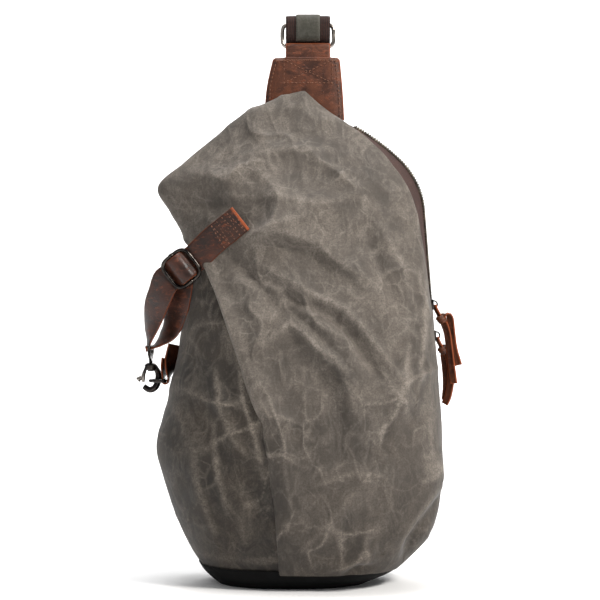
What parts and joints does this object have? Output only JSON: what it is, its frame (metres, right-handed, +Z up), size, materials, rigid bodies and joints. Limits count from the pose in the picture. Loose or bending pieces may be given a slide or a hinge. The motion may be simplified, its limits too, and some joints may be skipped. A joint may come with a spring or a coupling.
{
  "type": "sling bag",
  "caption": "Waxed canvas sling bag with a leather yoke, a webbing shoulder strap, a curved side zipper and a clipped side strap.",
  "frame": {"origin": "middle of the flat foot of the base, on the surface that the bag stands on", "axes": "+Z up, the front faces -Y, +X to the right of someone looking at the front"},
  "size_m": [0.2779, 0.1432, 0.4908],
  "materials": {
    "waxed_canvas": "waxed, creased",
    "lining_cotton": "plain weave",
    "black_cordura": "coated nylon",
    "black_mesh": "spacer mesh over foam",
    "board": "pressed board",
    "brown_leather": "oiled, distressed",
    "webbing": "herringbone webbing",
    "gunmetal": "dark nickel plate",
    "zip_tape": "woven tape",
    "zip_metal": "antique nickel"
  },
  "bodies": {
    "bag": {"back_pad": "black_mesh", "back_panel": "black_cordura", "base_panel": "black_cordura", "base_stiffener": "board", "buckle_bar": "gunmetal", "buckle_frame": "gunmetal", "d_ring_tab": "brown_leather", "front_panel": "waxed_canvas", "hook_eye": "gunmetal", "inner_pocket": "lining_cotton", "left_gusset": "waxed_canvas", "lining": "lining_cotton", "lower_tab": "brown_leather", "right_gusset": "waxed_canvas", "ring_loop": "brown_leather", "shoulder_strap": "webbing", "side_strap": "brown_leather", "strap_patch": "brown_leather", "strap_stripe": "waxed_canvas", "yoke_back": "brown_leather", "yoke_core": "webbing", "yoke_front": "brown_leather", "zip_bottom_stop": "zip_metal", "zip_tape_back": "zip_tape", "zip_tape_front": "zip_tape", "zip_teeth_back": "zip_metal", "zip_teeth_front": "zip_metal"},
    "upper_zip_slider": {"upper_slider": "zip_metal", "upper_bail": "zip_metal"},
    "lower_zip_slider": {"lower_slider": "zip_metal", "lower_bail": "zip_metal"},
    "upper_pull": {"upper_thong": "brown_leather"},
    "lower_pull": {"lower_thong": "brown_leather"},
    "hook": {"hook_body": "gunmetal"},
    "gate": {"hook_gate": "gunmetal"},
    "side_ring": {"side_d_ring": "gunmetal"},
    "strap_ring": {"top_ring": "gunmetal"},
    "foot_ring": {"lower_ring": "gunmetal"},
    "adjuster": {"strap_adjuster": "gunmetal"}
  },
  "joints": [
    {"name": "upper_slider_slide", "type": "slide", "parent": "bag", "child": "upper_zip_slider", "axis": [-0.0777, 0, 0.997], "range_m": [0, 0.07]},
    {"name": "lower_slider_slide", "type": "slide", "parent": "bag", "child": "lower_zip_slider", "axis": [-0.0777, 0, 0.997], "range_m": [-0.045, 0]},
    {"name": "upper_pull_swing", "type": "hinge", "parent": "upper_zip_slider", "child": "upper_pull", "pos_m": [0.11754, 0.008, 0.23789], "axis": [0, -1, 0], "range_deg": [0, 70]},
    {"name": "lower_pull_swing", "type": "hinge", "parent": "lower_zip_slider", "child": "lower_pull", "pos_m": [0.11964, 0.008, 0.21089], "axis": [0, -1, 0], "range_deg": [0, 70]},
    {"name": "hook_swivel", "type": "hinge", "parent": "bag", "child": "hook", "pos_m": [-0.1298, 0.008, 0.184], "axis": [0, 0, 1], "range_deg": [-12, 12]},
    {"name": "gate_hinge", "type": "hinge", "parent": "hook", "child": "gate", "pos_m": [-0.1352, 0.008, 0.1794], "axis": [0, -1, 0], "range_deg": [0, 15], "stiffness_Nm_per_rad": 0.01, "springref_deg": -11.46},
    {"name": "side_ring_swing", "type": "hinge", "parent": "bag", "child": "side_ring", "pos_m": [-0.1168, 0.008, 0.172], "axis": [0, 1, 0], "range_deg": [-12, 12]},
    {"name": "top_ring_tilt", "type": "hinge", "parent": "bag", "child": "strap_ring", "pos_m": [0.007, 0.02285, 0.464], "axis": [1, 0, 0], "range_deg": [-3, 3]},
    {"name": "lower_ring_tilt", "type": "hinge", "parent": "bag", "child": "foot_ring", "pos_m": [0.007, 0.057, 0.06], "axis": [1, 0, 0], "range_deg": [-3, 3]},
    {"name": "adjuster_slide", "type": "slide", "parent": "bag", "child": "adjuster", "axis": [0, 0, 1], "range_m": [-0.06, 0.045]}
  ]
}
